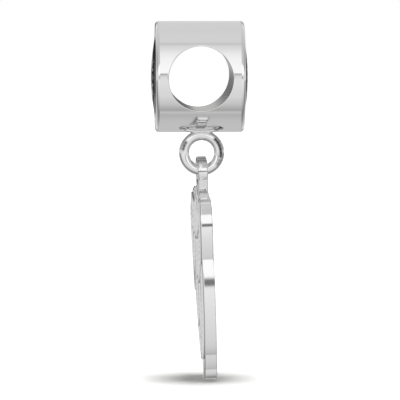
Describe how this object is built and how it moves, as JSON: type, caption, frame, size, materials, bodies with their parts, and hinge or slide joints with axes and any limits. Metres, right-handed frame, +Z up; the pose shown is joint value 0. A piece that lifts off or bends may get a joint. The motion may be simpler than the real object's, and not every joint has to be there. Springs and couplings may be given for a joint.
{
  "type": "dangle bead charm",
  "caption": "Polished silver drum bead with a round bracelet hole and black enamel ends, and a cast wing charm hanging from a soldered ring.",
  "frame": {"origin": "centre of the hole that the bracelet passes through, which is the middle of the drum bead", "axes": "+X along the drum from one enamelled end to the other, +Y along the bracelet hole, +Z up, with the wing hanging down"},
  "size_m": [0.0072, 0.0082, 0.0266],
  "materials": {
    "silver": "mirror-polished sterling silver",
    "enamel": "glossy black enamel"
  },
  "bodies": {
    "drum": {"bead": "silver", "left_enamel": "enamel", "right_enamel": "enamel"},
    "charm": {"wing": "silver"}
  },
  "joints": [
    {"name": "charm_swing", "type": "hinge", "parent": "drum", "child": "charm", "pos_m": [0.00017, 0, -0.00696], "axis": [1, 0, 0], "range_deg": [-90, 80]}
  ]
}
